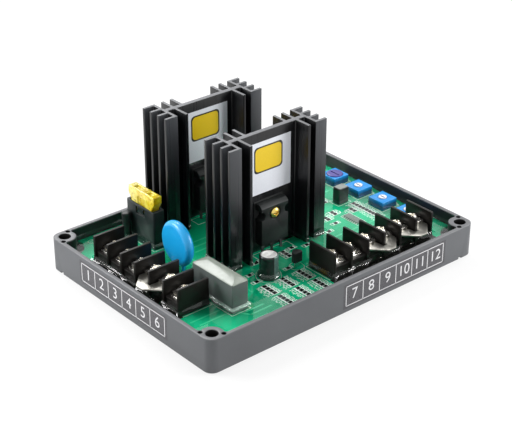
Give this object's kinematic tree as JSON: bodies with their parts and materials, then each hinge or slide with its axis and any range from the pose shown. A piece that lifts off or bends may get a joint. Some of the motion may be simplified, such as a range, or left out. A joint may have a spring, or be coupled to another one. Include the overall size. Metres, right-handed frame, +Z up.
{
  "type": "automatic voltage regulator",
  "caption": "Alternator voltage regulator: a potted circuit board in a shallow tray with finned heatsinks, barrier terminal blocks, a blade fuse and trimmers.",
  "frame": {"origin": "centre of the tray's underside", "axes": "+Z up out of the open tray, +X along the tray's long side away from the left terminal block, -Y towards the right terminal block's wire side"},
  "size_m": [0.155, 0.115, 0.068],
  "materials": {
    "tray_plastic": "satin",
    "board_green": "gloss",
    "clear_resin": "gloss",
    "block_black": "satin",
    "nickel": "satin",
    "tinned_metal": "satin",
    "anodised_black": "satin",
    "device_black": "satin",
    "yellow_zinc": "satin",
    "pad_grey": "matte",
    "sticker_white": "matte",
    "holder_black": "satin",
    "fuse_yellow": "gloss",
    "varistor_blue": "gloss",
    "film_grey": "satin",
    "fill_pale": "satin",
    "can_aluminium": "satin",
    "sleeve_black": "gloss",
    "bung_rubber": "matte",
    "trimmer_blue": "gloss",
    "rotor_white": "gloss",
    "rotor_purple": "gloss"
  },
  "bodies": {
    "regulator": {"case_tray": "tray_plastic", "circuit_board": "board_green", "potting_resin": "clear_resin", "left_terminal_block": "block_black", "right_terminal_block": "block_black", "left_terminal_plates": "nickel", "right_terminal_plates": "nickel", "left_clamp_plates": "nickel", "right_clamp_plates": "nickel", "left_terminal_screws": "nickel", "right_terminal_screws": "nickel", "left_link": "nickel", "right_inner_link": "nickel", "right_outer_link": "nickel", "front_heatsink": "anodised_black", "rear_heatsink": "anodised_black", "heatsink_pins": "tinned_metal", "front_power_device": "device_black", "rear_power_device": "device_black", "front_device_leads": "tinned_metal", "rear_device_leads": "tinned_metal", "front_device_screw": "yellow_zinc", "rear_device_screw": "yellow_zinc", "front_insulating_pad": "pad_grey", "rear_insulating_pad": "pad_grey", "front_sticker": "sticker_white", "rear_sticker": "sticker_white", "fuse_holder": "holder_black", "fuse_contacts": "tinned_metal", "fuse_body": "fuse_yellow", "fuse_blades": "tinned_metal", "varistor": "varistor_blue", "varistor_leads": "tinned_metal", "film_capacitor_case": "film_grey", "film_capacitor_fill": "fill_pale", "film_capacitor_leads": "tinned_metal", "electrolytic_can": "can_aluminium", "electrolytic_sleeve": "sleeve_black", "electrolytic_bung": "bung_rubber", "electrolytic_leads": "tinned_metal", "box_capacitor": "device_black", "box_capacitor_leads": "tinned_metal", "choke_coil": "sleeve_black", "choke_leads": "tinned_metal", "trimmer_1_housing": "trimmer_blue", "trimmer_2_housing": "trimmer_blue", "trimmer_3_housing": "trimmer_blue", "trimmer_4_housing": "trimmer_blue", "trimmer_pins": "tinned_metal", "small_transistor": "device_black", "small_transistor_leads": "tinned_metal", "ic_body": "device_black", "ic_legs": "tinned_metal", "chip_resistors": "device_black", "chip_end_caps": "tinned_metal"},
    "rotor_1": {"trimmer_1_rotor": "rotor_purple"},
    "rotor_2": {"trimmer_2_rotor": "rotor_white"},
    "rotor_3": {"trimmer_3_rotor": "rotor_white"},
    "rotor_4": {"trimmer_4_rotor": "rotor_white"}
  },
  "joints": [
    {"name": "trimmer_1_turn", "type": "hinge", "parent": "regulator", "child": "rotor_1", "pos_m": [0.0664, 0.024, 0.0138], "axis": [0, 0, 1], "range_deg": [-135, 135]},
    {"name": "trimmer_2_turn", "type": "hinge", "parent": "regulator", "child": "rotor_2", "pos_m": [0.0664, 0.0074, 0.0138], "axis": [0, 0, 1], "range_deg": [-135, 135]},
    {"name": "trimmer_3_turn", "type": "hinge", "parent": "regulator", "child": "rotor_3", "pos_m": [0.0664, -0.0092, 0.0138], "axis": [0, 0, 1], "range_deg": [-135, 135]},
    {"name": "trimmer_4_turn", "type": "hinge", "parent": "regulator", "child": "rotor_4", "pos_m": [0.0664, -0.0258, 0.0138], "axis": [0, 0, 1], "range_deg": [-135, 135]}
  ]
}
